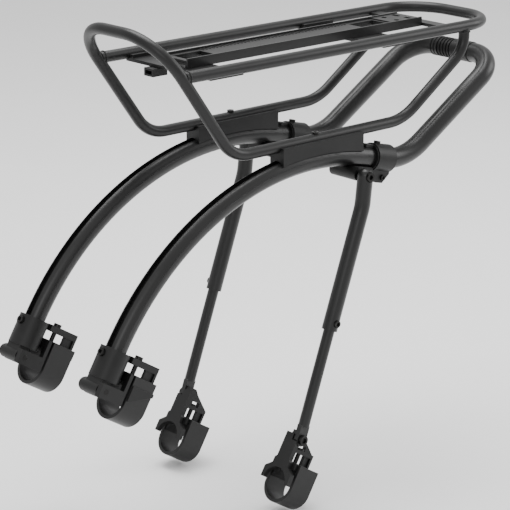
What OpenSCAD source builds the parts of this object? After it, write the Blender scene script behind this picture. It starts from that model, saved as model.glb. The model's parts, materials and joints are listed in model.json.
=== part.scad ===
// Rear rack for a bicycle: two arched rails and a rear bow carry a tubular deck.
// Front feet strap to the frame's stays, and two telescopic struts strap lower down.
// X points rearward, Y to the rider's right, Z up. The origin is the centre of the
// deck strip's flat top.

/* [Overall] */
// Distance between the left and right rails, centre to centre
rail_gap = 110; // [90:1:150]
// Length of the deck, from the front hoop to the rear hoop
deck_len = 406; // [340:1:500]
// Height of the deck tube above the side tube
side_drop = 74.5; // [60:0.5:95]
// Height of the front hoop above the deck tube
hoop_rise = 34; // [20:1:50]
// Lean of the front hoop from the vertical
hoop_lean = 35.7; // [20:0.1:45]

/* [Tubes] */
// Diameter of the deck and side tubes
tube_d = 10; // [8:0.5:13]
// Corner radius of the front hoop
hoop_corner = 42; // [25:1:44]
// Corner radius of the deck's rear hoop
deck_corner = 42; // [25:1:44]
// Bend radius between the hoop's legs and the side tubes
knee_bend = 35; // [20:1:50]
// Bend radius between the side tubes and the rear risers
riser_foot_bend = 55; // [20:1:60]
// Slope of the rear risers
riser_slope = 34.5; // [25:0.5:45]
// Bend radius at the top of the risers
riser_bend = 25; // [12:1:28]

/* [Arched rails] */
// Radius of the arched rails' centre line
arch_r = 257.8; // [240:0.1:320]
// Drop from the side tube's centre to the crown of the arch's centre line
arch_drop = 17.8; // [17:0.1:26]
// Place of the crown of the arch along the deck
arch_crown = -32.8; // [-60:0.1:10]
// Angle of the arch's front end, back from the rear horizontal
arch_front = 148.1; // [138:0.1:155]
// Angle of the arch's rear end
arch_rear = 76.6; // [72:0.1:80]
// Diameter of the arched rails
arch_d = 18; // [16:0.5:22]
// Bore of the arched rails
arch_bore = 10; // [6:0.5:11]
// Mouth of the slot along the arch's back
slot_w = 6.4; // [5:0.1:7.5]
// Width of the slot below its mouth
slot_in_w = 10; // [8:0.1:11]

/* [Rear bow] */
// Diameter of the bow's tube
bow_d = 18; // [16:0.5:22]
// Wall of the bow's tube
bow_wall = 2; // [1.5:0.1:3]
// Slope of the bow's legs
bow_slope = 32; // [25:0.5:42]
// Bend radius at the foot of the bow
bow_foot_r = 60; // [45:1:75]
// Corner radius at the top of the bow
bow_corner = 30; // [24:1:32]
// Length of each bow leg, from the foot's corner point to the top bar
bow_leg = 144.3; // [120:0.1:185]
// Length of the sleeve that joins the bow's halves
joiner_len = 31; // [20:1:40]

/* [Saddles] */
// Length of each saddle between the side tube and the arch
saddle_len = 95; // [60:1:110]
// Distance of the saddle's middle behind the crown of the arch
saddle_off = 5.7; // [-6:0.1:10]
// Width of the saddle
saddle_w = 17; // [15:0.5:22]

/* [Deck strip] */
// Width of the strip along the middle of the deck
spine_w = 33; // [26:1:44]
// Height of the strip's side walls
spine_h = 8.4; // [7:0.1:12]
// Length of the strip
spine_len = 280; // [240:1:340]
// Wall of the strip
spine_wall = 1.6; // [1.2:0.1:2.5]
// Pitch of the fine cross ribs
rib_pitch = 4; // [3:0.5:6]
// Width of the front and rear cross plates along the rack
cross_w = 36; // [24:1:44]
// Thickness of the cross plates
cross_t = 3; // [2:0.1:4]

/* [Struts] */
// Distance between the struts, centre to centre
strut_gap = 154; // [134:1:190]
// Diameter of the upper tube
strut_d = 14; // [12:0.5:16]
// Diameter of the lower rod
rod_d = 10; // [8:0.5:11]
// Straight length from the pivot to the bend
strut_top = 26.7; // [22:0.1:40]
// Length of the upper tube below the bend
strut_mid = 112; // [95:1:140]
// Length from the bend to the bolt at the foot
strut_low = 211.5; // [190:0.5:260]
// Lean of the strut's top, from the vertical
strut_lean_top = 6.7; // [0:0.1:15]
// Lean of the strut's lower run
strut_lean = 20.1; // [10:0.1:30]
// Radius of the strut's bend
strut_bend = 40; // [25:1:60]
// Drop of the pivot below the arch's centre line
pivot_drop = 14; // [12.5:0.1:18]

/* [Feet] */
// Outer diameter of the front collar
collar_d = 26; // [24:0.5:32]
// Length of the front collar
collar_h = 26; // [20:0.5:34]
// Depth of the arch's end in the collar
collar_depth = 18; // [12:0.5:20]
// Inner radius of the front strap's loop
loop_r = 14; // [11:0.5:17]
// Width of the strap, along the stay that it holds
strap_w = 25; // [20:1:36]
// Thickness of the strap
strap_t = 3; // [2:0.1:4]
// Inner radius of the strut strap's loop
strut_loop_r = 13.5; // [11:0.5:15]
// Thickness of the rubber pads at their crown
pad_t = 2.5; // [1.5:0.1:4]
// Tilt of the feet's straps below the horizontal
foot_tilt = 31.9; // [25:0.1:40]
// Gap round what turns
turn_gap = 0.1; // [0.05:0.01:0.15]
// Gap between pieces that pass each other
pass_gap = 0.5; // [0.3:0.1:0.8]

/* [Hidden] */
$fn = 64;

black = [0.10, 0.10, 0.11];
satin = [0.16, 0.16, 0.17];
rubber = [0.07, 0.07, 0.07];
steel = [0.22, 0.22, 0.24];

// Deck and side frame
rail_y = rail_gap / 2;
tube_r = tube_d / 2;
strip_top = 2;                           // the strip's walls stand this far above the origin
rail_z = strip_top - tube_r;             // tube tops lie flush with the strip's walls
side_z = rail_z - side_drop;
hoop_z = rail_z + hoop_rise;
deck_x0 = -deck_len / 2;                 // the front hoop's top bar
deck_x1 = deck_len / 2;                  // the rear hoop's bar
leg_slope = tan(hoop_lean);              // rearward run per fall
leg_at = function (z) deck_x0 + (hoop_z - z) * leg_slope;
leg_foot = leg_at(side_z);
riser_top = deck_x1 - deck_corner - tube_r - 1;      // where the riser meets the deck's rail
riser_knee_z = rail_z - riser_bend * tan((90 - riser_slope) / 2) - 1.6 * tube_r;
riser_foot = riser_top - (riser_knee_z - side_z) / tan(riser_slope);

// Arched rails
arch_x = arch_crown;
arch_z = side_z - arch_drop - arch_r;
arch_pt = function (a, r = arch_r) [arch_x + r * cos(a), 0, arch_z + r * sin(a)];
slot_mouth_h = 1.8;
slot_in_h = 2.4;
stub_len = 20;

// Rear bow, in the vertical plane of each rail
rear_pt = arch_pt(arch_rear);
rear_tilt = arch_rear - 90;              // the arch's rear end slopes down by this
bow_start = rear_pt + (stub_len + 0.2) * [cos(rear_tilt), 0, sin(rear_tilt)];
bow_turn = bow_slope - rear_tilt;
bow_tangent = bow_foot_r * tan(bow_turn / 2);
bow_lead = 9;                            // straight stretch before the foot's bend
bow_knee = bow_start + (bow_lead + bow_tangent) * [cos(rear_tilt), 0, sin(rear_tilt)];
bow_top = bow_knee + bow_leg * [cos(bow_slope), 0, sin(bow_slope)];

// Tube clamps and strut pivots
clamp_from = 10;
clamp_len = 22;
clamp_d = arch_d + 7.4;
screw_seat = 0.6;                        // flat seats on round parts are this deep
pivot_angle = arch_rear + 3.4;
pivot_pt = arch_pt(pivot_angle, arch_r - pivot_drop);
boss_r = 6;
boss_in = 17;                            // the boss reaches this far inboard of the arch
strut_y = strut_gap / 2;
strut_seat = 0.85;                       // depth of the locking screw's seat
boss_out = strut_y - rail_y - strut_d / 2 - pass_gap;
pivot_bolt_r = 2.5;

// Struts, in their own planes
bend_pt = pivot_pt + strut_top * [-sin(strut_lean_top), 0, -cos(strut_lean_top)];
strut_dir = [-sin(strut_lean), 0, -cos(strut_lean)];
foot_bolt_pt = bend_pt + strut_low * strut_dir;
flat_t = 5;                              // flattened end of the lower rod
eye_r = 6;
bolt_r = 2.5;

// Front feet
foot_pt = arch_pt(arch_front);
foot_lean = 180 - arch_front;            // the foot's axis leans by this from the vertical
foot_pivot = [-4, -34.5];                // pivot's place below the collar's top, in the foot's frame
knuckle_r = 6.5;
ear_t = 5;
knuckle_w = 17;

eps = 0.01;
swell = 0.03;                            // bends are fuller than the straights by this,
lap = 0.4;                               // and the straights run this far into them

// ---------- helpers ----------

// A straight rod between two points
module rod(a, b, r) {
    d = b - a;
    l = norm(d);
    translate(a) rotate([0, acos(d[2] / l), atan2(d[1], d[0])]) cylinder(r = r, h = l);
}

// A straight run of a bent tube, which reaches a little way into the bends at its ends
module run(a, b, r) {
    d = (b - a) / norm(b - a);
    rod(a - lap * d, b + lap * d, r);
}

// A tube's bend about a centre on the Z axis, from the X axis round by an angle
module bend(big, r, angle) {
    rotate_extrude(angle = angle) translate([big, 0]) circle(r + swell);
}

// A bend in the XZ plane: centre c, centre-line radius, from angle a0 to a1
module bend_xz(c, big, r, a0, a1) {
    translate(c) rotate([90, 0, 0]) rotate([0, 0, a0]) bend(big, r, a1 - a0);
}

// One side of a bar shape mirrored to the other side
module both_sides() {
    children();
    mirror([0, 1, 0]) children();
}

// A piece on one side: s is -1 on the left and 1 on the right
module on_side(s, y) {
    translate([0, s * y, 0]) children();
}

// Hexagon socket screw: head on +Z, shank below
module socket_screw(head_r, head_h, shank_r, shank_l) {
    difference() {
        union() {
            cylinder(r = head_r, h = head_h);
            translate([0, 0, -shank_l]) cylinder(r = shank_r, h = shank_l + eps);
        }
        translate([0, 0, head_h * 0.4]) cylinder(r = head_r * 0.55, h = head_h, $fn = 6);
    }
}

// ---------- deck and side frame ----------

// Front hoop, legs, side tubes and risers are one bent tube
module half_side(r) {
    lean = [sin(hoop_lean), 0, -cos(hoop_lean)];
    leg_turn = 90 - hoop_lean;
    knee = knee_bend * tan(leg_turn / 2);
    foot = [leg_foot, rail_y, side_z];
    top = [deck_x0, rail_y, hoop_z];
    riser_knee = riser_foot_bend * tan(riser_slope / 2);
    riser = [cos(riser_slope), 0, sin(riser_slope)];
    riser_head = riser_bend * tan((90 - riser_slope) / 2);
    // hoop's corner, in the plane of the leaning hoop
    translate(top + hoop_corner * lean - [0, hoop_corner, 0]) rotate([0, -hoop_lean, 0])
        rotate([0, 90, 0]) rotate([0, 0, 90]) bend(hoop_corner, r, 90);
    run(top + hoop_corner * lean, foot - knee * lean, r);
    bend_xz([leg_foot + knee, rail_y, side_z + knee_bend], knee_bend, r, 270 - leg_turn, 270);
    run([leg_foot + knee, rail_y, side_z], [riser_foot - riser_knee, rail_y, side_z], r);
    bend_xz([riser_foot - riser_knee, rail_y, side_z + riser_foot_bend], riser_foot_bend, r, 270,
        270 + riser_slope);
    run([riser_foot, rail_y, side_z] + riser_knee * riser,
        [riser_top, rail_y, riser_knee_z] - riser_head * riser, r);
    // the riser's head turns up to the deck's rail
    bend_xz([riser_top - riser_bend, rail_y, riser_knee_z + riser_head], riser_bend, r,
        270 + riser_slope, 360);
    translate([riser_top, rail_y, riser_knee_z + riser_head - lap])
        cylinder(r = r, h = rail_z - 2 - riser_knee_z - riser_head + lap);
}

module side_frame() {
    half = rail_y - hoop_corner;
    color(black) difference() {
        union() {
            both_sides() half_side(tube_r);
            run([deck_x0, -half, hoop_z], [deck_x0, half, hoop_z], tube_r);
        }
        // the risers' heads are cut to the rail they are welded to
        both_sides() rod([riser_top - 3 * tube_d, rail_y, rail_z],
            [riser_top + 3 * tube_d, rail_y, rail_z], tube_r);
    }
}

module deck_rail() {
    reach = deck_x1 - deck_corner;
    half = rail_y - deck_corner;
    color(black) difference() {
        union() {
            both_sides() {
                run([leg_at(rail_z) + tube_r / 2, rail_y, rail_z], [reach, rail_y, rail_z], tube_r);
                translate([reach, half, rail_z]) bend(deck_corner, tube_r, 90);
            }
            run([deck_x1, -half, rail_z], [deck_x1, half, rail_z], tube_r);
        }
        // the rails' front ends are cut to the hoop's legs
        both_sides() rod([leg_at(rail_z + 20), rail_y, rail_z + 20],
            [leg_at(rail_z - 20), rail_y, rail_z - 20], tube_r);
    }
}

// The strip's cross section is two walls with lips, joined by a web under the floor
spine_x0 = -spine_len / 2;
strip_z0 = strip_top - spine_h;
floor_t = 2.2;
floor_w = spine_w - 2 * spine_wall;
hole_l = 30;
front_hole = spine_x0 + 6;
rear_hole = spine_len / 2 - 68;
plate_x0 = rear_hole + hole_l + 3;
hole_w = 20;

module strip_holes(h) {
    for (x = [front_hole, rear_hole])
        translate([x, -hole_w / 2, -h]) cube([hole_l, hole_w, 2 * h]);
}

light_len = spine_len / 2 - plate_x0;
light_gap = 16;                           // the light's two screws stand this far apart
light_hole_r = 2.6;
module light_holes(h) {
    for (y = [-light_gap / 2, light_gap / 2])
        translate([plate_x0 + light_len * 0.3, y, -h]) cylinder(r = light_hole_r, h = 2 * h);
}

module deck_strip() {
    color(satin) difference() {
        translate([spine_x0, -spine_w / 2, strip_z0]) cube([spine_len, spine_w, spine_h]);
        translate([spine_x0 - 1, -floor_w / 2, -floor_t]) cube([spine_len + 2, floor_w, spine_h]);
        translate([spine_x0 - 1, -floor_w / 2 + 1.5, strip_z0 - 1])
            cube([spine_len + 2, floor_w - 3, spine_h - strip_top - floor_t - spine_wall + 1]);
        strip_holes(12);
        light_holes(12);
    }
}

// Floor of the strip: a flat middle, ribbed margins and a window at each end
module strip_floor() {
    rib_from = front_hole + hole_l + 4;
    rib_to = rear_hole - 4;
    ribs = floor((rib_to - rib_from) / rib_pitch);
    margin = 5.5;
    color(rubber) difference() {
        union() {
            translate([spine_x0, -floor_w / 2, -floor_t])
                cube([plate_x0 - spine_x0 - 0.5, floor_w, floor_t]);
            for (s = [-1, 1], i = [0:ribs])
                translate([rib_from + i * rib_pitch - 0.6, s * (floor_w - margin) / 2 - margin / 2, -eps])
                    cube([1.2, margin, 0.8]);
        }
        strip_holes(6);
    }
}

// Plate that closes the strip's rear end and carries a light
module light_plate() {
    color(satin) difference() {
        translate([plate_x0, -floor_w / 2, -floor_t]) cube([light_len, floor_w, floor_t + 0.9]);
        for (y = [-8, 8]) translate([plate_x0 + light_len * 0.68, y - 4.5, -5]) cube([4, 9, 10]);
        light_holes(10);
    }
}

module cross_plate(x) {
    z = strip_z0 - cross_t;
    difference() {
        union() {
            translate([x, -rail_y, z]) cube([cross_w, rail_gap, cross_t]);
            // raised ends reach the tubes
            both_sides() translate([x, rail_y - 9, z]) cube([cross_w, 8, rail_z - z]);
        }
        both_sides() rod([x - 5, rail_y, rail_z], [x + cross_w + 5, rail_y, rail_z], tube_r);
        both_sides() translate([x - 5, rail_y, z - 5]) cube([cross_w + 10, 20, 20]);
    }
}

front_cross_x = spine_x0 - 8;
rear_cross_x = rear_hole - cross_w * 0.55;
module front_cross_plate() {
    color(black) cross_plate(front_cross_x);
}
module rear_cross_plate() {
    color(black) cross_plate(rear_cross_x);
}

// Flat bar across the rear end of the strip
bar_w = 12;
module rear_cross_bar() {
    x = spine_len / 2;
    color(black) difference() {
        translate([x, -rail_y, strip_z0]) cube([bar_w, rail_gap, cross_t]);
        both_sides() rod([x - 5, rail_y, rail_z], [x + bar_w + 5, rail_y, rail_z], tube_r);
    }
}

// Spring clip under the front cross plate, which holds a bag's hook
module front_clip() {
    w = 12;
    z = strip_z0 - cross_t;
    color(rubber) translate([front_cross_x - 6, 12, z - 7]) difference() {
        cube([16, w, 7]);
        translate([-1, 2, 2]) cube([12, w - 4, 3]);
    }
}

// ---------- saddles ----------

saddle_mid = arch_crown + saddle_off;
saddle_gap = 0.35;                       // between the saddle and the arch it slides on
module saddle_body() {
    skirt = 5.5;                          // skirts end this far outside the arch's centre line
    x0 = saddle_mid - saddle_len / 2;
    difference() {
        translate([x0, -saddle_w / 2, side_z - 40]) cube([saddle_len, saddle_w, 40]);
        // room for the arch, and nothing inside the skirts' edge
        translate([arch_x, saddle_w, arch_z]) rotate([90, 0, 0])
            cylinder(r = arch_r + skirt, h = 2 * saddle_w, $fn = 180);
        translate([arch_x, 0, arch_z]) rotate([90, 0, 0]) rotate([0, 0, 60])
            rotate_extrude(angle = 60, $fn = 180) translate([arch_r, 0])
                circle(arch_d / 2 + saddle_gap, $fn = 64);
        // seat of the side tube
        rod([x0 - 5, 0, side_z], [x0 + saddle_len + 5, 0, side_z], tube_r);
    }
}
module saddle_left() {
    color(satin) on_side(-1, rail_y) saddle_body();
}
module saddle_right() {
    color(satin) on_side(1, rail_y) saddle_body();
}

// A screw a side holds the side tube on its saddle
screw_x = saddle_mid - 3;
module saddle_screws() {
    color(steel) for (s = [-1, 1])
        on_side(s, rail_y) translate([screw_x, 0, side_z + tube_r]) difference() {
            translate([0, 0, -0.6]) cylinder(r = 3, h = 2.2);
            translate([-6, 0, -tube_r]) rotate([0, 90, 0]) cylinder(r = tube_r, h = 12);
            translate([0, 0, 0.7]) cylinder(r = 1.6, h = 3, $fn = 6);
        }
}

// Nuts in the arch's slots, under the saddles' screws
module slot_nuts() {
    neck = slot_w - 2 * saddle_gap;
    foot_w = slot_in_w - 2 * 0.5;
    low = arch_d / 2 - slot_mouth_h - slot_in_h + 0.4;
    span = 6;                             // each nut spans this angle of the arch
    color(steel) for (s = [-1, 1])
        on_side(s, rail_y) translate([arch_x, 0, arch_z]) rotate([90, 0, 0])
            rotate([0, 0, acos((screw_x - arch_x) / arch_r) - span / 2])
            rotate_extrude(angle = span, $fn = 180) translate([arch_r, 0]) intersection() {
                union() {
                    translate([low, -foot_w / 2]) square([slot_in_h - 0.8, foot_w]);
                    translate([low, -neck / 2]) square([arch_d, neck]);
                }
                circle(arch_d / 2 + saddle_gap, $fn = 64);
            }
}

// ---------- arched rails ----------

module arch_profile() {
    difference() {
        circle(arch_d / 2);
        translate([-1.5, 0]) circle(arch_bore / 2);
        translate([arch_d / 2 - slot_mouth_h - slot_in_h, -slot_in_w / 2])
            square([slot_in_h, slot_in_w]);
        translate([arch_d / 2 - slot_mouth_h - 0.5, -slot_w / 2]) square([slot_mouth_h + 2, slot_w]);
        // shallow line along each side
        for (s = [-1, 1]) translate([1.8, s * arch_d / 2]) circle(0.5, $fn = 24);
    }
}

module arch_body() {
    difference() {
        union() {
            translate([arch_x, 0, arch_z]) rotate([90, 0, 0]) rotate([0, 0, arch_rear])
                rotate_extrude(angle = arch_front - arch_rear, $fn = 180)
                    translate([arch_r, 0]) arch_profile();
            // plain ends
            translate(rear_pt) rotate([0, 90 - rear_tilt, 0]) translate([0, 0, -lap])
                cylinder(r = arch_d / 2 + swell, h = stub_len + lap);
            translate(foot_pt) rotate([0, foot_lean, 0]) translate([0, 0, -collar_depth + 0.5])
                cylinder(r = arch_d / 2 + swell, h = collar_depth - 0.5 + lap);
        }
        translate(rear_pt) rotate([0, 90 - rear_tilt, 0]) translate([0, 0, 3])
            cylinder(r = arch_bore / 2, h = stub_len);
    }
}
module arch_left() {
    color(black) on_side(-1, rail_y) arch_body();
}
module arch_right() {
    color(black) on_side(1, rail_y) arch_body();
}

// ---------- rear bow ----------

module bow_path(r) {
    up = [cos(bow_slope), 0, sin(bow_slope)];
    along = [cos(rear_tilt), 0, sin(rear_tilt)];
    y = [0, rail_y, 0];
    c = bow_start + bow_lead * along + bow_foot_r * [-sin(rear_tilt), 0, cos(rear_tilt)];
    rod(bow_start + y, bow_start + (bow_lead + lap) * along + y, r);
    bend_xz(c + y, bow_foot_r, r, 270 + rear_tilt, 270 + bow_slope);
    run(bow_knee + bow_tangent * up + y, bow_top - bow_corner * up + y, r);
    // the corner lies in the plane of the legs
    translate(bow_top - bow_corner * up + [0, rail_y - bow_corner, 0]) rotate([0, -bow_slope, 0])
        bend(bow_corner, r, 90);
    rod(bow_top + [0, rail_y - bow_corner + lap, 0], bow_top + [0, joiner_len / 2, 0], r);
}

module bow_half() {
    bore = bow_d / 2 - bow_wall;
    difference() {
        bow_path(bow_d / 2);
        bow_path(bore);
        // both ends are open
        translate(bow_start + [0, rail_y, 0]) rotate([0, 90 - rear_tilt, 0]) translate([0, 0, -1])
            cylinder(r = bore, h = 2);
        translate(bow_top + [0, joiner_len / 2 - 1, 0]) rotate([-90, 0, 0]) cylinder(r = bore, h = 2);
    }
}
module bow_right() {
    color(black) bow_half();
}
module bow_left() {
    color(black) mirror([0, 1, 0]) bow_half();
}

// Sleeve between the bow's halves: grooves along its top and fins below
module bow_joiner() {
    half = joiner_len / 2;
    spigot = min(8, rail_y - bow_corner - half - 1);
    fins = floor((joiner_len - 5) / 2.5);
    color(rubber) translate(bow_top) rotate([0, -bow_slope, 0]) difference() {
        union() {
            translate([0, half - 0.1, 0]) rotate([90, 0, 0])
                cylinder(r = bow_d / 2 - 0.8, h = joiner_len - 0.2);
            for (s = [-1, 1]) translate([0, s * (half - 0.8) + 0.7, 0]) rotate([90, 0, 0])
                cylinder(r = bow_d / 2 + 0.7, h = 1.4);
            translate([0, half + spigot, 0]) rotate([90, 0, 0])
                cylinder(r = bow_d / 2 - bow_wall - 0.1, h = joiner_len + 2 * spigot);
            intersection() {
                for (i = [0:fins - 1]) translate([0, -half + 3 + i * 2.5, 0]) rotate([90, 0, 0])
                    cylinder(r = bow_d / 2, h = 1);
                translate([-20, -20, -20]) cube([40, 40, 18]);
            }
        }
        for (a = [-40:20:60]) rotate([0, a, 0]) translate([-0.5, -half + 3, bow_d / 2 - 1.5])
            cube([1, joiner_len - 6, 2]);
    }
}

// ---------- tube clamps ----------

module tube_clamp(s) {
    tilt = 90 - rear_tilt;
    along = [cos(rear_tilt), 0, sin(rear_tilt)];
    on_side(s, rail_y) difference() {
        union() {
            translate(rear_pt) rotate([0, tilt, 0]) translate([0, 0, clamp_from])
                cylinder(r = clamp_d / 2, h = clamp_len);
            translate(rear_pt) rotate([0, tilt, 0]) translate([0, 0, clamp_from - 1.4])
                cylinder(r = clamp_d / 2 - 0.9, h = 3);
            // ear below the bow's tube
            translate(rear_pt) rotate([0, -rear_tilt, 0]) translate([clamp_from + 1, 0, 0])
                rotate([90, 0, 0]) linear_extrude(height = 14, center = true) polygon([
                    [0, -6], [0, -15], [5, -21.5], [13, -21.5], [20, -13], [20, -6]]);
            // bar under the arch, from the ear to the pivot boss
            translate(pivot_pt) rotate([0, -rear_tilt, 0]) translate([0, -7, -boss_r])
                cube([(rear_pt - pivot_pt) * along + clamp_from + 4, 14, 2 * boss_r]);
            translate(pivot_pt + [0, s > 0 ? boss_out : boss_in, 0]) rotate([90, 0, 0])
                cylinder(r = boss_r, h = boss_in + boss_out);
        }
        // seat of the arch and the bow
        translate(rear_pt) rotate([0, tilt, 0]) {
            translate([0, 0, -25]) cylinder(r = arch_d / 2 + swell, h = 25 + stub_len + 0.1);
            translate([0, 0, stub_len]) cylinder(r = bow_d / 2, h = 30);
            // the rear mouth is eased for the bow's bend
            translate([0, 0, stub_len + bow_lead - 1]) cylinder(r = bow_d / 2 + 0.7, h = 30);
        }
        // flat seat of the top screw
        translate(rear_pt) rotate([0, -rear_tilt, 0])
            translate([clamp_from + 6, 0, clamp_d / 2 - screw_seat]) cylinder(r = 3.2, h = 5);
        translate([arch_x, 0, arch_z]) rotate([90, 0, 0]) rotate([0, 0, arch_rear - 2])
            rotate_extrude(angle = 14, $fn = 180) translate([arch_r, 0]) circle(arch_d / 2, $fn = 64);
        // thread for the pivot bolt
        translate(pivot_pt + [0, 30, 0]) rotate([90, 0, 0]) cylinder(r = pivot_bolt_r, h = 60);
        // slit in the ear and hole for its screw
        translate(rear_pt) rotate([0, -rear_tilt, 0]) translate([clamp_from + 6, -0.6, -24])
            cube([20, 1.2, 14]);
    }
}
module tube_clamp_left() {
    color(satin) tube_clamp(-1);
}
module tube_clamp_right() {
    color(satin) tube_clamp(1);
}

// Screws on top of the tube clamps, and pinch screws through their ears
module clamp_screws() {
    color(steel) for (s = [-1, 1]) on_side(s, rail_y)
        translate(rear_pt) rotate([0, -rear_tilt, 0]) {
            translate([clamp_from + 6, 0, clamp_d / 2 - screw_seat]) socket_screw(3, 2.6, 1, 0);
            translate([clamp_from + 13, s * 7, -16.5]) rotate([-90 * s, 0, 0])
                socket_screw(2.6, 1.8, 1.5, 0);
        }
}

// Small blocks that close the slot in front of the tube clamps
module slot_stops() {
    color(rubber) for (s = [-1, 1]) on_side(s, rail_y)
        translate(rear_pt) rotate([0, -rear_tilt, 0]) translate([-1, -4, arch_d / 2 - 2])
            difference() {
                cube([clamp_from - 0.6, 8, 4.4]);
                translate([-5, 4, -arch_d / 2 + 2]) rotate([0, 90, 0])
                    cylinder(r = arch_d / 2 + swell, h = 30);
            }
}

// ---------- struts ----------

module strut_upper(s) {
    r = strut_d / 2;
    turn = strut_lean - strut_lean_top;
    reach = strut_bend * tan(turn / 2);
    top_dir = [-sin(strut_lean_top), 0, -cos(strut_lean_top)];
    on_side(s, strut_y) difference() {
        union() {
            translate(pivot_pt) sphere(r = r + swell);
            rod(pivot_pt, bend_pt - (reach - lap) * top_dir, r);
            // centre of the bend lies ahead of the strut
            translate(bend_pt - reach * top_dir + strut_bend * [-cos(strut_lean_top), 0, sin(strut_lean_top)])
                rotate([90, 0, 0]) rotate([0, 0, -strut_lean]) bend(strut_bend, r, turn);
            rod(bend_pt + (reach - lap) * strut_dir, bend_pt + strut_mid * strut_dir, r);
        }
        // bore for the lower rod
        rod(bend_pt + 12 * strut_dir, bend_pt + (strut_mid + 5) * strut_dir, rod_d / 2 + turn_gap);
        // flat inboard face and bolt hole at the top
        translate(pivot_pt + [-12, s > 0 ? -20 : r - 1.5, -12]) cube([24, 21.5 - r, 22]);
        translate(pivot_pt + [0, 20, 0]) rotate([90, 0, 0]) cylinder(r = pivot_bolt_r + turn_gap, h = 40);
        // seat of the bolt's head
        translate(pivot_pt + [0, s > 0 ? 14 : -4, 0]) rotate([90, 0, 0]) cylinder(r = 4.6, h = 10);
        // flat seat of the locking screw
        translate(bend_pt + (strut_mid - 7) * strut_dir + [0, s * (r - strut_seat), 0])
            rotate([-90 * s, 0, 0]) cylinder(r = 3.4, h = 5);
    }
}
module strut_upper_left() {
    color(black) strut_upper(-1);
}
module strut_upper_right() {
    color(black) strut_upper(1);
}

// Bolt that each strut swings on; it is fast in the tube clamp
module pivot_bolt(s) {
    on_side(s, strut_y) translate(pivot_pt + [0, s * 4.2, 0]) rotate([-90 * s, 0, 0])
        socket_screw(4.2, 3.2, pivot_bolt_r, 26);
}
module strut_pivot_bolt_left() {
    color(steel) pivot_bolt(-1);
}
module strut_pivot_bolt_right() {
    color(steel) pivot_bolt(1);
}

// Lower rod: slides in the upper tube and ends in a flattened eye
module strut_lower(s) {
    rod_in = 30;
    flat_from = strut_low - 12;
    on_side(s, strut_y) difference() {
        union() {
            rod(bend_pt + (strut_mid - rod_in) * strut_dir, bend_pt + flat_from * strut_dir, rod_d / 2);
            translate(foot_bolt_pt) rotate([0, strut_lean, 0]) {
                translate([0, flat_t / 2, 0]) rotate([90, 0, 0]) cylinder(r = eye_r, h = flat_t);
                translate([-rod_d / 2 - 0.4, -flat_t / 2, 0]) cube([rod_d + 0.8, flat_t, 13]);
            }
        }
        translate(foot_bolt_pt + [0, 10, 0]) rotate([90, 0, 0]) cylinder(r = bolt_r + turn_gap, h = 20);
    }
}
module strut_lower_left() {
    color(black) strut_lower(-1);
}
module strut_lower_right() {
    color(black) strut_lower(1);
}

// Button-head screw that locks the rod in the tube
module strut_screw(s) {
    on_side(s, strut_y)
        translate(bend_pt + (strut_mid - 7) * strut_dir + [0, s * (strut_d / 2 - strut_seat), 0])
            rotate([-90 * s, 0, 0]) socket_screw(3.2, 2.4, 1, 0);
}
module strut_screw_left() {
    color(steel) strut_screw(-1);
}
module strut_screw_right() {
    color(steel) strut_screw(1);
}

// ---------- strap clamps ----------

// A band round the stay: x from x0, loop centre at height z, arms up to top above it
module strap(x0, w, r, z, top) {
    big = r + strap_t;
    translate([x0, 0, z]) {
        rotate([90, 0, 90]) linear_extrude(height = w) difference() {
            circle(big);
            circle(r);
            translate([-big - 1, 0]) square([2 * big + 2, big + 1]);
        }
        for (y = [-big, r]) translate([0, y, 0]) cube([w, strap_t, top]);
    }
}

// Rubber pad under the housing; its face is hollowed for the stay
module pad(x0, w, r, z, top) {
    half = r - pass_gap / 2;
    translate([x0, 0, z]) rotate([90, 0, 90]) linear_extrude(height = w) difference() {
        translate([-half, r / 3]) square([2 * half, top - r / 3]);
        circle(r);
    }
}

// Tension screw with a slotted head
module tension_screw(x, z_top, l, head_r, head_h) {
    translate([x, 0, z_top]) difference() {
        union() {
            cylinder(r = head_r, h = head_h);
            translate([0, 0, -l]) cylinder(r = 2, h = l + eps);
        }
        translate([-head_r - 1, -0.6, head_h - 1]) cube([2 * head_r + 2, 1.2, 2]);
    }
}

// ---------- front feet ----------

// Frame of a front foot: Z up the arch's end, X rearward along the stay
module at_foot(s) {
    on_side(s, rail_y) translate(foot_pt) rotate([0, foot_lean, 0]) children();
}

module front_collar(s) {
    at_foot(s) difference() {
        union() {
            translate([0, 0, -collar_h]) cylinder(r = collar_d / 2, h = collar_h);
            // knuckle under the collar
            translate([foot_pivot[0], knuckle_w / 2, foot_pivot[1]]) rotate([90, 0, 0])
                cylinder(r = knuckle_r, h = knuckle_w);
            translate([foot_pivot[0] - knuckle_r + 1, -knuckle_w / 2, foot_pivot[1]])
                cube([2 * knuckle_r - 2, knuckle_w, -foot_pivot[1] - collar_h + 2]);
        }
        translate([0, 0, -collar_depth]) cylinder(r = arch_d / 2 + turn_gap, h = collar_depth + 1);
        // flat seat of the collar's screw
        translate([-collar_d / 2 + screw_seat, 0, -6]) rotate([0, -90, 0]) cylinder(r = 3.6, h = 5);
        translate([foot_pivot[0], 20, foot_pivot[1]]) rotate([90, 0, 0])
            cylinder(r = bolt_r + turn_gap, h = 40);
    }
}
module front_collar_left() {
    color(satin) front_collar(-1);
}
module front_collar_right() {
    color(satin) front_collar(1);
}

module collar_screw(s) {
    at_foot(s) translate([-collar_d / 2 + screw_seat, 0, -6]) rotate([0, -90, 0])
        socket_screw(3.4, 2.6, 1, 0);
}
module collar_screw_left() {
    color(steel) collar_screw(-1);
}
module collar_screw_right() {
    color(steel) collar_screw(1);
}

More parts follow.
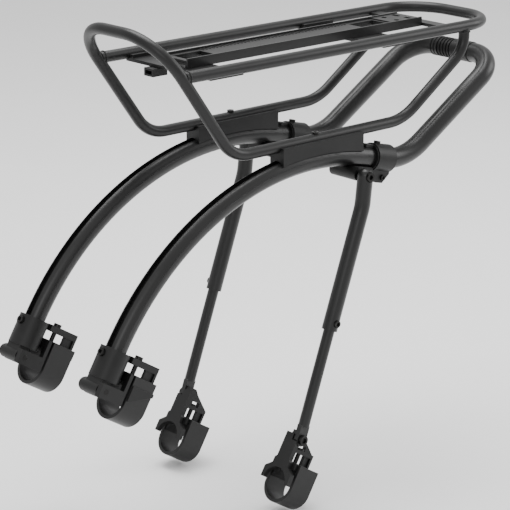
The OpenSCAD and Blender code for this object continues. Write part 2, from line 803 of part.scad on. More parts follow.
// Frame beside a tension screw: a bar over an open window, then a recessed panel and an end post
bar_t = 5.7;
post_t = 2.5;
recess = 1.6;
screw_hole_r = 2 + turn_gap;
module window_frame(x0, win, x1, y0, y1, z0, z1, bar) {
    h = z1 - z0 - bar - 0.5;
    difference() {
        translate([x0, y0, z0]) cube([x1 - x0, y1 - y0, z1 - z0]);
        translate([x0 - 1, y0 - 1, z0 + 0.5]) cube([win - x0 + 1, y1 - y0 + 2, h]);
        for (y = [y0 - 1, y1 - recess])
            translate([win - eps, y, z0 + 0.5]) cube([x1 - post_t - win, recess + 1, h]);
    }
}

front_x0 = collar_d / 2 + pass_gap;
front_x1 = front_x0 + 31.5;
front_win = front_x0 + 19.5;
front_screw = front_x0 + 8;
front_y0 = -9;                            // left face of the frame
front_y1 = front_y0 + 6;
front_screw_y = (front_y0 + front_y1) / 2;
front_top = 0.5;                          // top of the frame, above the collar's rim
base_t = 8;
base_z = front_top - 13.5;                // top of the front foot's housing
loop_side = 3.5;                          // the front loops lie this far right of their arches
loop_z = base_z - base_t - pad_t - loop_r;
out = loop_r + strap_t;
cheek = knuckle_w / 2 + pass_gap;
front_half = loop_r - pass_gap / 2;       // half the housing's width

module front_clamp(s) {
    at_foot(s) difference() {
        union() {
            window_frame(front_x0, front_win, front_x1, front_y0, front_y1, base_z, front_top, bar_t);
            // housing over the loop
            translate([front_x0, loop_side - front_half, base_z - base_t])
                cube([front_x1 + 3 - front_x0, 2 * front_half, base_t]);
            // its front edge, as wide as the cheeks
            translate([front_x0, -cheek - ear_t, base_z - base_t + 1])
                cube([3.5, loop_side + front_half + cheek + ear_t, base_t - 1]);
            // cheeks that reach forward to the pivot
            for (y = [-cheek - ear_t, cheek]) {
                translate([foot_pivot[0], y, foot_pivot[1] - 6]) cube([front_x0 + 3 - foot_pivot[0], ear_t, 12]);
                translate([foot_pivot[0], y + ear_t, foot_pivot[1]]) rotate([90, 0, 0])
                    cylinder(r = 6, h = ear_t);
                translate([front_x0, y, foot_pivot[1] - 6])
                    cube([3.5, ear_t, base_z - foot_pivot[1] + 6]);
            }
            // the left cheek's square nose
            translate([foot_pivot[0] - 6, -cheek - ear_t, foot_pivot[1] - 6]) cube([7, ear_t, 12]);
        }
        translate([foot_pivot[0], 20, foot_pivot[1]]) rotate([90, 0, 0]) cylinder(r = bolt_r, h = 40);
        translate([front_screw, front_screw_y, -30]) cylinder(r = screw_hole_r, h = 60);
    }
}
module front_clamp_left() {
    color(satin) front_clamp(-1);
}
module front_clamp_right() {
    color(satin) front_clamp(1);
}

// Cross bolt; its round head is on the right of both feet
module front_pivot_bolt(s) {
    reach = knuckle_w / 2 + pass_gap + ear_t;
    at_foot(s) translate([foot_pivot[0], 0, foot_pivot[1]]) rotate([-90, 0, 0]) {
        translate([0, 0, -reach]) cylinder(r = bolt_r, h = 2 * reach + eps);
        translate([0, 0, reach]) cylinder(r = 5.2, h = 2);
        translate([0, 0, reach + 2 - eps]) cylinder(r = 3.4, h = 1.6);
    }
}
module front_pivot_bolt_left() {
    color(steel) front_pivot_bolt(-1);
}
module front_pivot_bolt_right() {
    color(steel) front_pivot_bolt(1);
}

strap_x0 = front_x0 + 6.5;
buckle_t = 1.8;
module front_strap(s) {
    at_foot(s) translate([0, loop_side, 0])
        strap(strap_x0, strap_w, loop_r, loop_z, loop_r + pad_t + base_t);
}
module front_strap_left() {
    color(black) front_strap(-1);
}
module front_strap_right() {
    color(black) front_strap(1);
}

module front_pad(s) {
    at_foot(s) translate([0, loop_side, 0])
        pad(strap_x0 + 1, strap_w - 2, loop_r, loop_z, loop_r + pad_t);
}
module front_pad_left() {
    color(rubber) front_pad(-1);
}
module front_pad_right() {
    color(rubber) front_pad(1);
}

module front_tension_screw(s) {
    at_foot(s) translate([0, front_screw_y, 0])
        tension_screw(front_screw, front_top, front_top - base_z + 2, 3.4, 2.6);
}
module front_tension_screw_left() {
    color(steel) front_tension_screw(-1);
}
module front_tension_screw_right() {
    color(steel) front_tension_screw(1);
}

// Wedge-shaped tongue of the ratchet, on the outer side of each front strap
module front_buckle(s) {
    side = s > 0 ? out + buckle_t : -out;
    at_foot(s) translate([strap_x0, loop_side + side, 0]) rotate([90, 0, 0]) linear_extrude(height = buckle_t)
            polygon([[0, base_z - base_t], [strap_w, base_z - base_t],
                [strap_w, base_z - base_t - 3], [2, base_z - base_t - 14], [0, base_z - base_t - 14]]);
}
module front_buckle_left() {
    color(satin) front_buckle(-1);
}
module front_buckle_right() {
    color(satin) front_buckle(1);
}

// ---------- strut feet ----------

// Frame of a strut foot: origin on its bolt, X rearward along the stay
foot_side = 4;                            // the foot's middle lies this far inboard of the strut
module at_strut_foot(s) {
    on_side(s, strut_y - foot_side) translate(foot_bolt_pt) rotate([0, foot_tilt, 0]) children();
}

st_x0 = -2.5;
st_x1 = 26;
st_win = 17;
st_screw = 10;
st_half = 7.5;
st_frame = 3.2;                           // half the frame's thickness
lug_x0 = -5.5;
st_top = -8.6;
st_bar_t = 3.4;
st_base_t = 6;
st_base = st_top - 12.4;
st_loop_z = st_base - st_base_t - pad_t - strut_loop_r;
st_strap_x0 = 1;
lug_t = 4;

module strut_clamp(s) {
    out = strut_loop_r + strap_t;
    half = strut_loop_r - pass_gap / 2;
    face = foot_side - flat_t / 2 - 0.3;  // outboard face of the lug, beside the strut's eye
    lug_y = s > 0 ? face - lug_t : -face;
    at_strut_foot(s) difference() {
        union() {
            window_frame(st_x0, st_win, st_x1, -st_frame, st_frame, st_base, st_top, st_bar_t);
            // housing
            translate([st_x0, -half, st_base - st_base_t]) cube([st_x1 + 2 - st_x0, 2 * half, st_base_t]);
            // front plate, wider towards its foot
            translate([st_x0 - 4.5, 0, 0]) rotate([90, 0, 90]) linear_extrude(height = 5) polygon([
                [-st_half, 3], [st_half, 3], [st_half, -20], [st_half + 2, -22], [st_half + 2, -27],
                [out, -32], [out, -42], [-out, -42], [-out, -32], [-st_half - 2, -27],
                [-st_half - 2, -22], [-st_half, -20]]);
            // lug for the strut's bolt
            translate([0, lug_y + lug_t, 0]) rotate([90, 0, 0]) linear_extrude(height = lug_t)
                polygon([[lug_x0, 3], [-5, 6.5], [4, 6.5], [9, 2], [st_x1, st_top], [st_x1, st_top - 2],
                    [st_screw + 4.6, st_top - 2], [st_screw + 4.6, -4.4], [st_screw - 4.6, -4.4],
                    [st_screw - 4.6, st_top - 2], [lug_x0, st_top - 2]]);
        }
        translate([0, 20, 0]) rotate([90, 0, 0]) cylinder(r = bolt_r, h = 40);
        // room for the strut's eye
        translate([0, s > 0 ? face + 20 : -face, 0]) rotate([90, 0, 0])
            cylinder(r = eye_r + 1.5, h = 20);
        translate([-30, s > 0 ? face : -face - 20, 0]) cube([60, 20, 14]);
        translate([st_screw, 0, -40]) cylinder(r = screw_hole_r, h = 60);
        // seat of the stay and its pad
        translate([st_x0 - 10, 0, st_loop_z]) rotate([0, 90, 0]) cylinder(r = strut_loop_r, h = 20);
    }
}
module strut_clamp_left() {
    color(satin) strut_clamp(-1);
}
module strut_clamp_right() {
    color(satin) strut_clamp(1);
}

module strut_clamp_bolt(s) {
    reach = flat_t / 2 + 0.3;
    at_strut_foot(s) translate([0, s * (foot_side + reach), 0]) rotate([-90 * s, 0, 0])
        socket_screw(4.6, 2.6, bolt_r, 2 * reach + lug_t);
}
module strut_clamp_bolt_left() {
    color(steel) strut_clamp_bolt(-1);
}
module strut_clamp_bolt_right() {
    color(steel) strut_clamp_bolt(1);
}

module strut_strap(s) {
    at_strut_foot(s)
        strap(st_strap_x0, strap_w, strut_loop_r, st_loop_z, strut_loop_r + pad_t + st_base_t);
}
module strut_strap_left() {
    color(black) strut_strap(-1);
}
module strut_strap_right() {
    color(black) strut_strap(1);
}

module strut_pad(s) {
    at_strut_foot(s) pad(st_strap_x0 + 1, strap_w - 2, strut_loop_r, st_loop_z, strut_loop_r + pad_t);
}
module strut_pad_left() {
    color(rubber) strut_pad(-1);
}
module strut_pad_right() {
    color(rubber) strut_pad(1);
}

module strut_tension_screw(s) {
    at_strut_foot(s) tension_screw(st_screw, st_top, st_top - st_base + 2, 3.2, 2);
}
module strut_tension_screw_left() {
    color(steel) strut_tension_screw(-1);
}
module strut_tension_screw_right() {
    color(steel) strut_tension_screw(1);
}

// ---------- parts ----------

side_frame();
deck_rail();
deck_strip();
strip_floor();
front_cross_plate();
rear_cross_plate();
rear_cross_bar();
light_plate();
front_clip();
saddle_left();
saddle_right();
saddle_screws();
slot_nuts();
arch_left();
arch_right();
bow_left();
bow_right();
bow_joiner();
tube_clamp_left();
tube_clamp_right();
clamp_screws();
slot_stops();
strut_upper_left();
strut_upper_right();
strut_pivot_bolt_left();
strut_pivot_bolt_right();
strut_lower_left();
strut_lower_right();
strut_screw_left();
strut_screw_right();
strut_clamp_left();
strut_clamp_right();
strut_clamp_bolt_left();
strut_clamp_bolt_right();
strut_strap_left();
strut_strap_right();
strut_pad_left();
strut_pad_right();
strut_tension_screw_left();
strut_tension_screw_right();
front_collar_left();
front_collar_right();
collar_screw_left();
collar_screw_right();
front_clamp_left();
front_clamp_right();
front_pivot_bolt_left();
front_pivot_bolt_right();
front_strap_left();
front_strap_right();
front_pad_left();
front_pad_right();
front_tension_screw_left();
front_tension_screw_right();
front_buckle_left();
front_buckle_right();
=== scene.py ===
"""A bicycle's rear rack in satin black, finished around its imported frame."""
import json
import math

import bmesh
import bpy
from mathutils import Matrix, Vector


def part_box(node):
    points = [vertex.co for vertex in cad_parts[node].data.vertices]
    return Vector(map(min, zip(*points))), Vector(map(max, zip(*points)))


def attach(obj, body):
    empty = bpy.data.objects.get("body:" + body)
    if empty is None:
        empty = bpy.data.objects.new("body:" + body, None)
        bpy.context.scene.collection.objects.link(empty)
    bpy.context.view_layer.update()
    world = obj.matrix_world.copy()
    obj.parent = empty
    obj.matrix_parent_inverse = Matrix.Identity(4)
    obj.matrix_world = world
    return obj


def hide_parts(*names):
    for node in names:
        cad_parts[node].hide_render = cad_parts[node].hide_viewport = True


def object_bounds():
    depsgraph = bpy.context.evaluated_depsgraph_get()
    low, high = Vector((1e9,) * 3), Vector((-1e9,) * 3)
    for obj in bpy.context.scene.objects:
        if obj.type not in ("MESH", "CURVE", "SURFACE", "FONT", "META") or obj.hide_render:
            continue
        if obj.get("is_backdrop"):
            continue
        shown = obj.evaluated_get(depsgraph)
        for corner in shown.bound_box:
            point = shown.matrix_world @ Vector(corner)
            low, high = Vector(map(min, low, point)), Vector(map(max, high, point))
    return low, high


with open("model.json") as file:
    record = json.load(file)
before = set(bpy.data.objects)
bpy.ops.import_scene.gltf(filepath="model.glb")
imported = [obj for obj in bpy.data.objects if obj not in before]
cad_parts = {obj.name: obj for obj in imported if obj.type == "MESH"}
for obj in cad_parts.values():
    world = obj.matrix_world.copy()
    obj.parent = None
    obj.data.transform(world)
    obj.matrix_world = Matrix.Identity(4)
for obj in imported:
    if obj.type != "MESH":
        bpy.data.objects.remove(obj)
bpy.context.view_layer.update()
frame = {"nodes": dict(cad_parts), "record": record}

MM = 0.001
LEFT, RIGHT = -1, 1
ROUND = 40               # segments round a tube
ALONG_X = Vector((1, 0, 0))
ALONG_Z = Vector((0, 0, 1))

# Angles and bend radii of the bent tubes, in degrees and metres
HOOP_LEAN = 35.7
RISER_SLOPE = 34.5
HOOP_CORNER = DECK_CORNER = 42 * MM
KNEE_BEND = 35 * MM
RISER_FOOT_BEND = 55 * MM
RISER_BEND = 25 * MM
KNEE_BELOW_RAIL = 8 * MM      # how far the riser's upper bend starts below the rail
TOP_IN_RAIL = 2 * MM          # how far the riser's end runs into the rail

# The tubes' broken ends
END_ROUND = 0.3 * MM
END_ANGLE = 40
END_STEPS = 2

# Welds
BEAD_R = 0.85 * MM
BEAD_COUNT = 26
LEG_BEAD_OUT = 1.1 * MM       # the leg's weld stands clear of the tube

# The bow's sleeve
SLEEVE_SEGMENTS = 64
PLAIN_GAP = 2 * MM            # from the middle to the plain half
WAIST_GAP = 2.5 * MM
WAIST_DEPTH = 1.1 * MM
FIN_COUNT = 7
FIN_DEPTH = 0.1 * MM
FIN_THICK = 1.1 * MM
FIN_END = 0.9 * MM

# A CAD mesh's clean-up
WELD_DIST = 2e-6
FLAT_ANGLE = 0.6


BODIES = frame["record"]["behaviour"]["bodies"]
BODY_OF = {node: body for body, nodes in BODIES.items() for node in nodes}
SLOT_OF = {row["node"]: row["material_slot"] for row in frame["record"]["subparts"]}


# ---------- shader maths ----------

class Signal:
    """A socket's value. Arithmetic on it adds Math nodes to its tree."""

    def __init__(self, paint, socket):
        self.paint = paint
        self.socket = socket

    def math(self, operation, *others):
        return self.paint.node("ShaderNodeMath", {"operation": operation}, *(self, *others))

    def __add__(self, other):
        return self.math("ADD", other)

    def __sub__(self, other):
        return self.math("SUBTRACT", other)

    def __rsub__(self, other):
        return self.paint.node("ShaderNodeMath", {"operation": "SUBTRACT"}, other, self)

    def __mul__(self, other):
        return self.math("MULTIPLY", other)

    __radd__ = __add__
    __rmul__ = __mul__

    def clamped(self):
        return self.math("MAXIMUM", 0.0).math("MINIMUM", 1.0)

    def band(self, low, high):
        """0 below low, 1 above high, and a ramp between."""
        return ((self - low) * (1.0 / (high - low))).clamped()


class Paint:
    """A material's tree, with one method that adds any node."""

    def __init__(self, name):
        self.material = bpy.data.materials.new(name)
        self.material.use_nodes = True
        self.tree = self.material.node_tree
        self.tree.nodes.clear()
        out = self.tree.nodes.new("ShaderNodeOutputMaterial")
        self.shader = self.tree.nodes.new("ShaderNodeBsdfPrincipled")
        self.tree.links.new(self.shader.outputs[0], out.inputs["Surface"])

    def node(self, kind, settings=None, *values, output=0, **named):
        made = self.tree.nodes.new(kind)
        for key, value in (settings or {}).items():
            setattr(made, key, value)
        for index, value in enumerate(values):
            self.feed(made.inputs[index], value)
        for key, value in named.items():
            self.feed(made.inputs[key.replace("_", " ")], value)
        return Signal(self, made.outputs[output])

    def feed(self, socket, value):
        if isinstance(value, Signal):
            self.tree.links.new(value.socket, socket)
        else:
            socket.default_value = value

    def place(self, scale=(1, 1, 1), turn=(0, 0, 0)):
        """Object coordinates in metres, stretched and turned."""
        where = self.node("ShaderNodeTexCoord", output=3)
        return self.node("ShaderNodeMapping", None, where, Scale=scale, Rotation=turn)

    def noise(self, where, scale, detail=3.0, rough=0.55):
        return self.node("ShaderNodeTexNoise", None, Vector=where, Scale=scale, Detail=detail,
                         Roughness=rough)

    def tint(self, factor, dark, light):
        """A colour between two, by a factor."""
        mixed = self.node("ShaderNodeMix", {"data_type": "RGBA"}, factor, output=2)
        node = mixed.socket.node
        node.inputs[6].default_value = (*dark, 1)
        node.inputs[7].default_value = (*light, 1)
        return mixed

    def facing_up(self):
        """1 where the surface faces up, 0 where it doesn't: the mask for painted top light."""
        normal = self.node("ShaderNodeNewGeometry", output=1)
        split = self.node("ShaderNodeSeparateXYZ", None, normal, output=2)
        return split.band(0.35, 1.0)

    def finish(self, colour, roughness, height=None, bump=0.2, depth=0.0002, **fixed):
        sockets = self.shader.inputs
        self.feed(sockets["Base Color"], colour)
        self.feed(sockets["Roughness"], roughness)
        if height is not None:
            normal = self.node("ShaderNodeBump", None, Height=height, Strength=bump, Distance=depth)
            self.feed(sockets["Normal"], normal)
        for key, value in fixed.items():
            sockets[key.replace("_", " ")].default_value = value
        return self.material


def grey(value, warm=0.0):
    return (value * (1 + warm), value, value * (1 - warm))


def powder_coat():
    """Satin powder coat: fine orange peel, faint clouding, and paler cloudy patches on upward faces
    that are partly settled dirt and partly painted top light.
    """
    paint = Paint("powder coat")
    where = paint.place()
    peel = paint.noise(where, 900.0, 2.0)
    cloud = paint.noise(where, 22.0, 4.0)
    speck = paint.noise(where, 2600.0, 1.0).band(0.62, 0.75)
    # Upward faces are painted paler in cloudy patches: partly settled dirt, partly painted top light
    # standing in for the overhead lamp.
    dust_and_top_light = paint.facing_up() * cloud.band(0.35, 0.75)
    colour = paint.tint((cloud * 0.5 + dust_and_top_light * 0.35 + speck * 0.15).clamped(), grey(0.0035), grey(0.012))
    rough = 0.30 + cloud * 0.12 + dust_and_top_light * 0.10
    return paint.finish(colour, rough, peel, bump=0.22, depth=0.00006, Specular_IOR_Level=0.34)


def drawn_alloy(name, turn):
    """Black anodised tube: long draw lines, and a soft even sheen."""
    paint = Paint(name)
    lines = paint.noise(paint.place((1, 1, 0.04), turn), 2200.0, 2.0)
    where = paint.place()
    cloud = paint.noise(where, 16.0, 4.0)
    grain = paint.noise(where, 3200.0, 1.0)
    colour = paint.tint((cloud * 0.7 + lines * 0.2).clamped(), grey(0.0035), grey(0.011))
    rough = 0.24 + cloud * 0.14 + lines * 0.06
    return paint.finish(colour, rough, lines * 0.6 + grain * 0.4, bump=0.12, depth=0.00004,
                        Specular_IOR_Level=0.38)


def moulded_nylon():
    """Glass-filled nylon: pebbled mould grain, paler where worn in cloudy patches, and upward faces
    paler from painted top light.
    """
    paint = Paint("moulded nylon")
    where = paint.place()
    pebble = paint.node("ShaderNodeTexVoronoi", {"feature": "SMOOTH_F1"}, Vector=where, Scale=1500.0)
    cloud = paint.noise(where, 40.0, 5.0)
    fine = paint.noise(where, 2400.0, 2.0)
    # Cloudy patches are paler where worn; the facing-up term is painted top light that makes upward
    # faces paler.
    wear_and_top_light = cloud.band(0.45, 0.8) * 0.6 + paint.facing_up() * 0.25
    colour = paint.tint(wear_and_top_light.clamped(), grey(0.004), grey(0.013))
    rough = 0.38 + cloud * 0.16
    return paint.finish(colour, rough, pebble * 0.6 + fine * 0.4, bump=0.3, depth=0.00010,
                        Specular_IOR_Level=0.3)


def strap_plastic():
    """Smooth flexible strap, with faint flow marks and rubbed patches."""
    paint = Paint("strap plastic")
    where = paint.place()
    flow = paint.noise(paint.place((1, 0.12, 1)), 320.0, 3.0)
    cloud = paint.noise(where, 30.0, 4.0)
    scuff = paint.noise(where, 700.0, 4.0).band(0.58, 0.72)
    colour = paint.tint((cloud * 0.5 + scuff * 0.3).clamped(), grey(0.0035), grey(0.011))
    rough = 0.33 + cloud * 0.12 + scuff * 0.14
    return paint.finish(colour, rough, flow * 0.7 + scuff * 0.3, bump=0.15, depth=0.00006,
                        Specular_IOR_Level=0.34)


def rubber():
    """Matte rubber with a talc bloom and a coarse skin."""
    paint = Paint("rubber")
    where = paint.place()
    skin = paint.noise(where, 1300.0, 4.0)
    bloom = paint.noise(where, 34.0, 5.0).band(0.35, 0.8)
    colour = paint.tint(bloom, grey(0.004), grey(0.012))
    rough = 0.54 + bloom * 0.18
    return paint.finish(colour, rough, skin, bump=0.35, depth=0.00009, Specular_IOR_Level=0.28)


def black_oxide():
    """Blackened steel: dark metal with fine scratches and brighter rubbed spots."""
    paint = Paint("black oxide steel")
    where = paint.place()
    scratch = paint.noise(paint.place((1, 0.06, 1), (0.4, 0.2, 0.7)), 2600.0, 2.0)
    patch = paint.noise(where, 160.0, 4.0)
    rubbed = patch.band(0.55, 0.8) * 0.5 + scratch.band(0.6, 0.8) * 0.3
    colour = paint.tint(rubbed.clamped(), grey(0.012, 0.03), grey(0.06, 0.02))
    rough = 0.26 + patch * 0.16
    return paint.finish(colour, rough, scratch, bump=0.15, depth=0.00004, Metallic=0.75)


FINISH = {
    "painted_frame": powder_coat(),
    "anodised_tube": drawn_alloy("anodised alloy", (0, 0, 0)),
    "plastic": moulded_nylon(),
    "straps": strap_plastic(),
    "rubber": rubber(),
    "fasteners": black_oxide(),
}


# ---------- making pieces ----------

def link(name, mesh):
    made = bpy.data.objects.new(name, mesh)
    bpy.context.scene.collection.objects.link(made)
    return made


def dress(piece, node, *others, slot=None):
    """The piece rides with a node's body, stands for it and takes its finish."""
    name = slot or SLOT_OF[node]
    piece.data.materials.clear()
    piece.data.materials.append(FINISH[name])
    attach(piece, BODY_OF[node])
    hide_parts(node, *others)
    return piece


def trim(piece, body, slot):
    """A small piece that stands for no node of its own."""
    piece.data.materials.clear()
    piece.data.materials.append(FINISH[slot])
    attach(piece, body)
    return piece


def soften(piece, width, segments=3, angle=28):
    """Rounds the piece's sharp edges and shades the rest smooth."""
    piece.data.shade_smooth()
    rounding = piece.modifiers.new("edges", "BEVEL")
    rounding.width = width
    rounding.segments = segments
    rounding.limit_method = "ANGLE"
    rounding.angle_limit = math.radians(angle)
    rounding.harden_normals = True
    return piece


def machined(node, edge):
    """A CAD node's own shape with its corners broken."""
    shape = bmesh.new()
    shape.from_mesh(frame["nodes"][node].data)
    bmesh.ops.remove_doubles(shape, verts=shape.verts, dist=WELD_DIST)
    bmesh.ops.dissolve_limit(shape, angle_limit=math.radians(FLAT_ANGLE), verts=shape.verts,
                             edges=shape.edges)
    mesh = bpy.data.meshes.new(node + "_finished")
    shape.to_mesh(mesh)
    shape.free()
    if "custom_normal" in mesh.attributes:
        mesh.attributes.remove(mesh.attributes["custom_normal"])
    piece = link(node + "_finished", mesh)
    soften(piece, edge)
    return dress(piece, node)


def filleted(corners, bends, steps=14):
    """Points along straight runs joined by arcs of the given radii."""
    path = [corners[0]]
    for before, corner, after, radius in zip(corners, corners[1:], corners[2:], bends):
        a = (before - corner).normalized()
        b = (after - corner).normalized()
        turn = math.pi - a.angle(b)
        tangent = radius * math.tan(turn / 2)
        centre = corner + (a + b).normalized() * (radius / math.cos(turn / 2))
        start = corner + a * tangent - centre
        axis = start.cross(corner + b * tangent - centre).normalized()
        for i in range(steps + 1):
            path.append(centre + Matrix.Rotation(turn * i / steps, 3, axis) @ start)
    return path + [corners[-1]]


def sweep(name, path, outline, side=None):
    """An outline carried along a path; side, if given, is the outline's fixed first axis."""
    shape = bmesh.new()
    rings = []
    across = side or (path[1] - path[0]).orthogonal().normalized()
    for i, point in enumerate(path):
        ahead = (path[min(i + 1, len(path) - 1)] - path[max(i - 1, 0)]).normalized()
        across = side or (across - ahead * across.dot(ahead)).normalized()
        out = ahead.cross(across).normalized()
        rings.append([shape.verts.new(point + across * u + out * v) for u, v in outline])
    count = len(outline)
    for one, two in zip(rings, rings[1:]):
        for i in range(count):
            j = (i + 1) % count
            shape.faces.new((one[i], one[j], two[j], two[i]))
    shape.faces.new(list(reversed(rings[0])))
    shape.faces.new(rings[-1])
    bmesh.ops.recalc_face_normals(shape, faces=shape.faces)
    mesh = bpy.data.meshes.new(name)
    shape.to_mesh(mesh)
    shape.free()
    piece = link(name, mesh)
    return piece


def circle(radius, segments=ROUND):
    angles = [2 * math.pi * i / segments for i in range(segments)]
    return [(radius * math.cos(a), radius * math.sin(a)) for a in angles]


# ---------- what repeats along a path ----------

def repeat_tree(name, shape, sizes):
    """A tree that sets one shape at even steps along the curve it is given, turned to follow it."""
    tree = bpy.data.node_groups.new(name, "GeometryNodeTree")
    face = tree.interface
    face.new_socket("Geometry", in_out="INPUT", socket_type="NodeSocketGeometry")
    face.new_socket("Count", in_out="INPUT", socket_type="NodeSocketInt")
    for label in sizes:
        face.new_socket(label, in_out="INPUT", socket_type="NodeSocketFloat")
    face.new_socket("Material", in_out="INPUT", socket_type="NodeSocketMaterial")
    face.new_socket("Geometry", in_out="OUTPUT", socket_type="NodeSocketGeometry")
    add = tree.nodes.new
    join = tree.links.new
    given, out = add("NodeGroupInput"), add("NodeGroupOutput")
    points = add("GeometryNodeCurveToPoints")
    join(given.outputs["Geometry"], points.inputs["Curve"])
    join(given.outputs["Count"], points.inputs["Count"])
    one = add(shape)
    for label in sizes:
        join(given.outputs[label], one.inputs[label])
    if "Subdivisions" in one.inputs:
        one.inputs["Subdivisions"].default_value = 2
    if "Vertices" in one.inputs:
        one.inputs["Vertices"].default_value = 48
    place = add("GeometryNodeInstanceOnPoints")
    join(points.outputs["Points"], place.inputs["Points"])
    join(one.outputs["Mesh"], place.inputs["Instance"])
    join(points.outputs["Rotation"], place.inputs["Rotation"])
    real = add("GeometryNodeRealizeInstances")
    join(place.outputs["Instances"], real.inputs["Geometry"])
    paint = add("GeometryNodeSetMaterial")
    join(real.outputs["Geometry"], paint.inputs["Geometry"])
    join(given.outputs["Material"], paint.inputs["Material"])
    join(paint.outputs["Geometry"], out.inputs["Geometry"])
    return tree


BEADS = repeat_tree("weld beads", "GeometryNodeMeshIcoSphere", ["Radius"])
RINGS = repeat_tree("fins", "GeometryNodeMeshCylinder", ["Radius", "Depth"])


def repeated(name, tree, path, slot, closed=False, **values):
    """The tree run on a path, kept as a plain mesh at the origin."""
    line = bpy.data.curves.new(name + "_path", "CURVE")
    line.dimensions = "3D"
    spline = line.splines.new("POLY")
    spline.points.add(len(path) - 1)
    for point, where in zip(spline.points, path):
        point.co = (*where, 1)
    spline.use_cyclic_u = closed
    guide = link(name + "_guide", line)
    grow = guide.modifiers.new("grow", "NODES")
    grow.node_group = tree
    sockets = {row.name: row.identifier for row in tree.interface.items_tree if row.in_out == "INPUT"}
    for label, value in values.items():
        grow[sockets[label]] = value
    grow[sockets["Material"]] = FINISH[slot]
    bpy.context.view_layer.update()
    ready = guide.evaluated_get(bpy.context.evaluated_depsgraph_get())
    mesh = bpy.data.meshes.new_from_object(ready)
    bpy.data.objects.remove(guide)
    bpy.data.curves.remove(line)
    piece = link(name, mesh)
    mesh.shade_smooth()
    return piece


def ring_round(centre, axis, radius, steps=28):
    """Points of a circle about an axis."""
    u = axis.orthogonal().normalized()
    v = axis.cross(u).normalized()
    angles = [2 * math.pi * i / steps for i in range(steps)]
    return [centre + u * radius * math.cos(a) + v * radius * math.sin(a) for a in angles]


# ---------- deck and side frame ----------

rail_low, rail_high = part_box("deck_rail")
tube_r = (rail_high.z - rail_low.z) / 2
rail_z = (rail_high.z + rail_low.z) / 2
rail_y = rail_high.y - tube_r
deck_end = rail_high.x - tube_r
side_low, side_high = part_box("side_frame")
hoop_x = side_low.x + tube_r
hoop_z = side_high.z - tube_r
side_z = side_low.z + tube_r
riser_x = side_high.x - tube_r


def leg_at(z):
    """Where the hoop's leg is at a height."""
    return hoop_x + (hoop_z - z) * math.tan(math.radians(HOOP_LEAN))


def side_frame():
    knee_tangent = RISER_BEND * math.tan(math.radians((90 - RISER_SLOPE) / 2))
    riser_knee = rail_z - knee_tangent - KNEE_BELOW_RAIL
    riser_foot = riser_x - (riser_knee - side_z) / math.tan(math.radians(RISER_SLOPE))
    half = [(riser_x, rail_z - TOP_IN_RAIL), (riser_x, riser_knee), (riser_foot, side_z),
            (leg_at(side_z), side_z), (hoop_x, hoop_z)]
    corners = [Vector((x, -rail_y, z)) for x, z in half]
    corners += [Vector((x, rail_y, z)) for x, z in reversed(half)]
    bends = [RISER_BEND, RISER_FOOT_BEND, KNEE_BEND, HOOP_CORNER]
    piece = sweep("side_tube", filleted(corners, bends + bends[::-1]), circle(tube_r))
    soften(piece, END_ROUND, END_STEPS, END_ANGLE)
    return dress(piece, "side_frame")


def deck_rail():
    start = leg_at(rail_z) + tube_r / 2
    corners = [Vector((start, -rail_y, rail_z)), Vector((deck_end, -rail_y, rail_z)),
               Vector((deck_end, rail_y, rail_z)), Vector((start, rail_y, rail_z))]
    piece = sweep("deck_tube", filleted(corners, [DECK_CORNER] * 2, 20), circle(tube_r))
    soften(piece, END_ROUND, END_STEPS, END_ANGLE)
    return dress(piece, "deck_rail")


def weld_beads():
    """Welds where the deck's rails meet the hoop's legs and the risers' tops."""
    joints = []
    for side in (LEFT, RIGHT):
        y = side * rail_y
        leg_x = leg_at(rail_z)
        joints.append((Vector((leg_x + tube_r + LEG_BEAD_OUT, y, rail_z)), ALONG_X, "leg"))
        joints.append((Vector((riser_x, y, rail_z - tube_r)), ALONG_Z, "riser"))
    for index, (centre, axis, name) in enumerate(joints):
        piece = repeated(f"weld_{name}_{index}", BEADS, ring_round(centre, axis, tube_r),
                         "painted_frame", closed=True, Count=BEAD_COUNT, Radius=BEAD_R)
        trim(piece, BODY_OF["side_frame"], "painted_frame")


def joiner():
    """The bow's sleeve: a plain half, and a half with fins round a thinner waist."""
    low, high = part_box("bow_joiner")
    middle = (low + high) / 2
    radius = (high.z - low.z) / 2

    def along(start, end):
        return [Vector((middle.x, start, middle.z)), Vector((middle.x, end, middle.z))]

    core = sweep("joiner_core", along(low.y, middle.y - PLAIN_GAP),
                 circle(radius, SLEEVE_SEGMENTS), ALONG_X)
    soften(core, 0.6 * MM, 4, 30)
    dress(core, "bow_joiner")
    waist = sweep("joiner_waist", along(middle.y - WAIST_GAP, high.y),
                  circle(radius - WAIST_DEPTH, SLEEVE_SEGMENTS), ALONG_X)
    soften(waist, 0.3 * MM, 2, 30)
    trim(waist, BODY_OF["bow_joiner"], "plastic")
    fins = repeated("joiner_fins", RINGS, along(middle.y, high.y - FIN_END), "plastic",
                    Count=FIN_COUNT, Radius=radius - FIN_DEPTH, Depth=FIN_THICK)
    trim(fins, BODY_OF["bow_joiner"], "plastic")
    soften(fins, 0.2 * MM, 2, 30)


side_frame()
deck_rail()
weld_beads()
joiner()

# ---------- every other piece keeps its own shape ----------

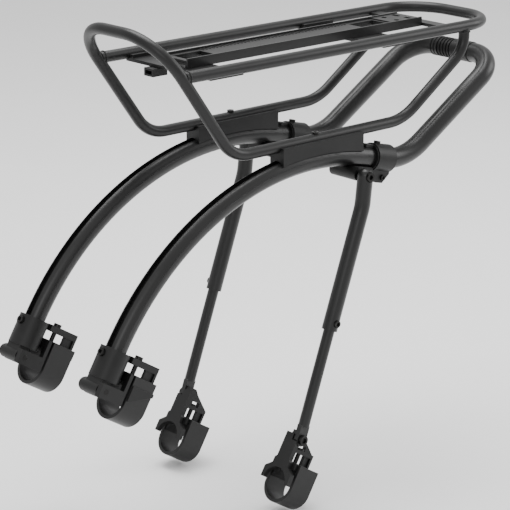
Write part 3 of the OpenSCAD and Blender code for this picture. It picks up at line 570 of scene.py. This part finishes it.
DONE = {"side_frame", "deck_rail", "bow_joiner"}
EDGE = {"painted_frame": 0.3 * MM, "anodised_tube": 0.3 * MM, "plastic": 0.5 * MM,
        "straps": 0.4 * MM, "rubber": 0.4 * MM, "fasteners": 0.2 * MM}
for node in sorted(set(frame["nodes"]) - DONE):
    machined(node, EDGE[SLOT_OF[node]])


# ---------- studio ----------

FLOOR_GAP = 1 * MM            # the floor lies this far below the lowest point
WORLD_STRENGTH = 1.05
LOOK_AT = (-0.05, 0, -0.19)
CAMERA_AT = (-1.2685, -1.3520, 0.3674)
LENS = 151.6
SENSOR = 36


def studio():
    low = min(corner[2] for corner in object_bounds())
    floor = bpy.data.meshes.new("floor")
    span = 6.0
    square = [(-span, -span, 0), (span, -span, 0), (span, span, 0), (-span, span, 0)]
    floor.from_pydata(square, [], [(0, 1, 2, 3)])
    floor.transform(Matrix.Translation((0, 0, low - FLOOR_GAP)))
    ground = link("studio_floor", floor)
    pale = Paint("pale floor")
    cloud = pale.noise(pale.place(), 3.0, 2.0)
    pale.finish(pale.tint(cloud, grey(0.82), grey(0.86)), 0.6)
    floor.materials.append(pale.material)
    ground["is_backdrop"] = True

    world = bpy.data.worlds.new("studio")
    bpy.context.scene.world = world
    world.use_nodes = True
    background = world.node_tree.nodes["Background"].inputs
    background["Color"].default_value = (1, 1, 1, 1)
    background["Strength"].default_value = WORLD_STRENGTH

    middle = Vector(LOOK_AT)
    for name, place, size, power in (
            ("top softbox", (0.1, 0.3, 1.5), 1.3, 46),
            ("left softbox", (-1.4, -1.3, 0.7), 0.7, 5),
            ("rear strip", (1.3, -0.7, 0.5), 0.8, 8)):
        light = bpy.data.lights.new(name, "AREA")
        light.size = size
        light.energy = power
        lamp = bpy.data.objects.new(name, light)
        lamp.location = place
        lamp.rotation_euler = (middle - Vector(place)).to_track_quat("-Z", "Y").to_euler()
        bpy.context.scene.collection.objects.link(lamp)

    lens = bpy.data.cameras.new("camera")
    lens.lens = LENS
    lens.sensor_width = SENSOR
    camera = bpy.data.objects.new("camera", lens)
    camera.location = CAMERA_AT
    camera.rotation_euler = (middle - camera.location).to_track_quat("-Z", "Y").to_euler()
    bpy.context.scene.collection.objects.link(camera)
    bpy.context.scene.camera = camera


studio()
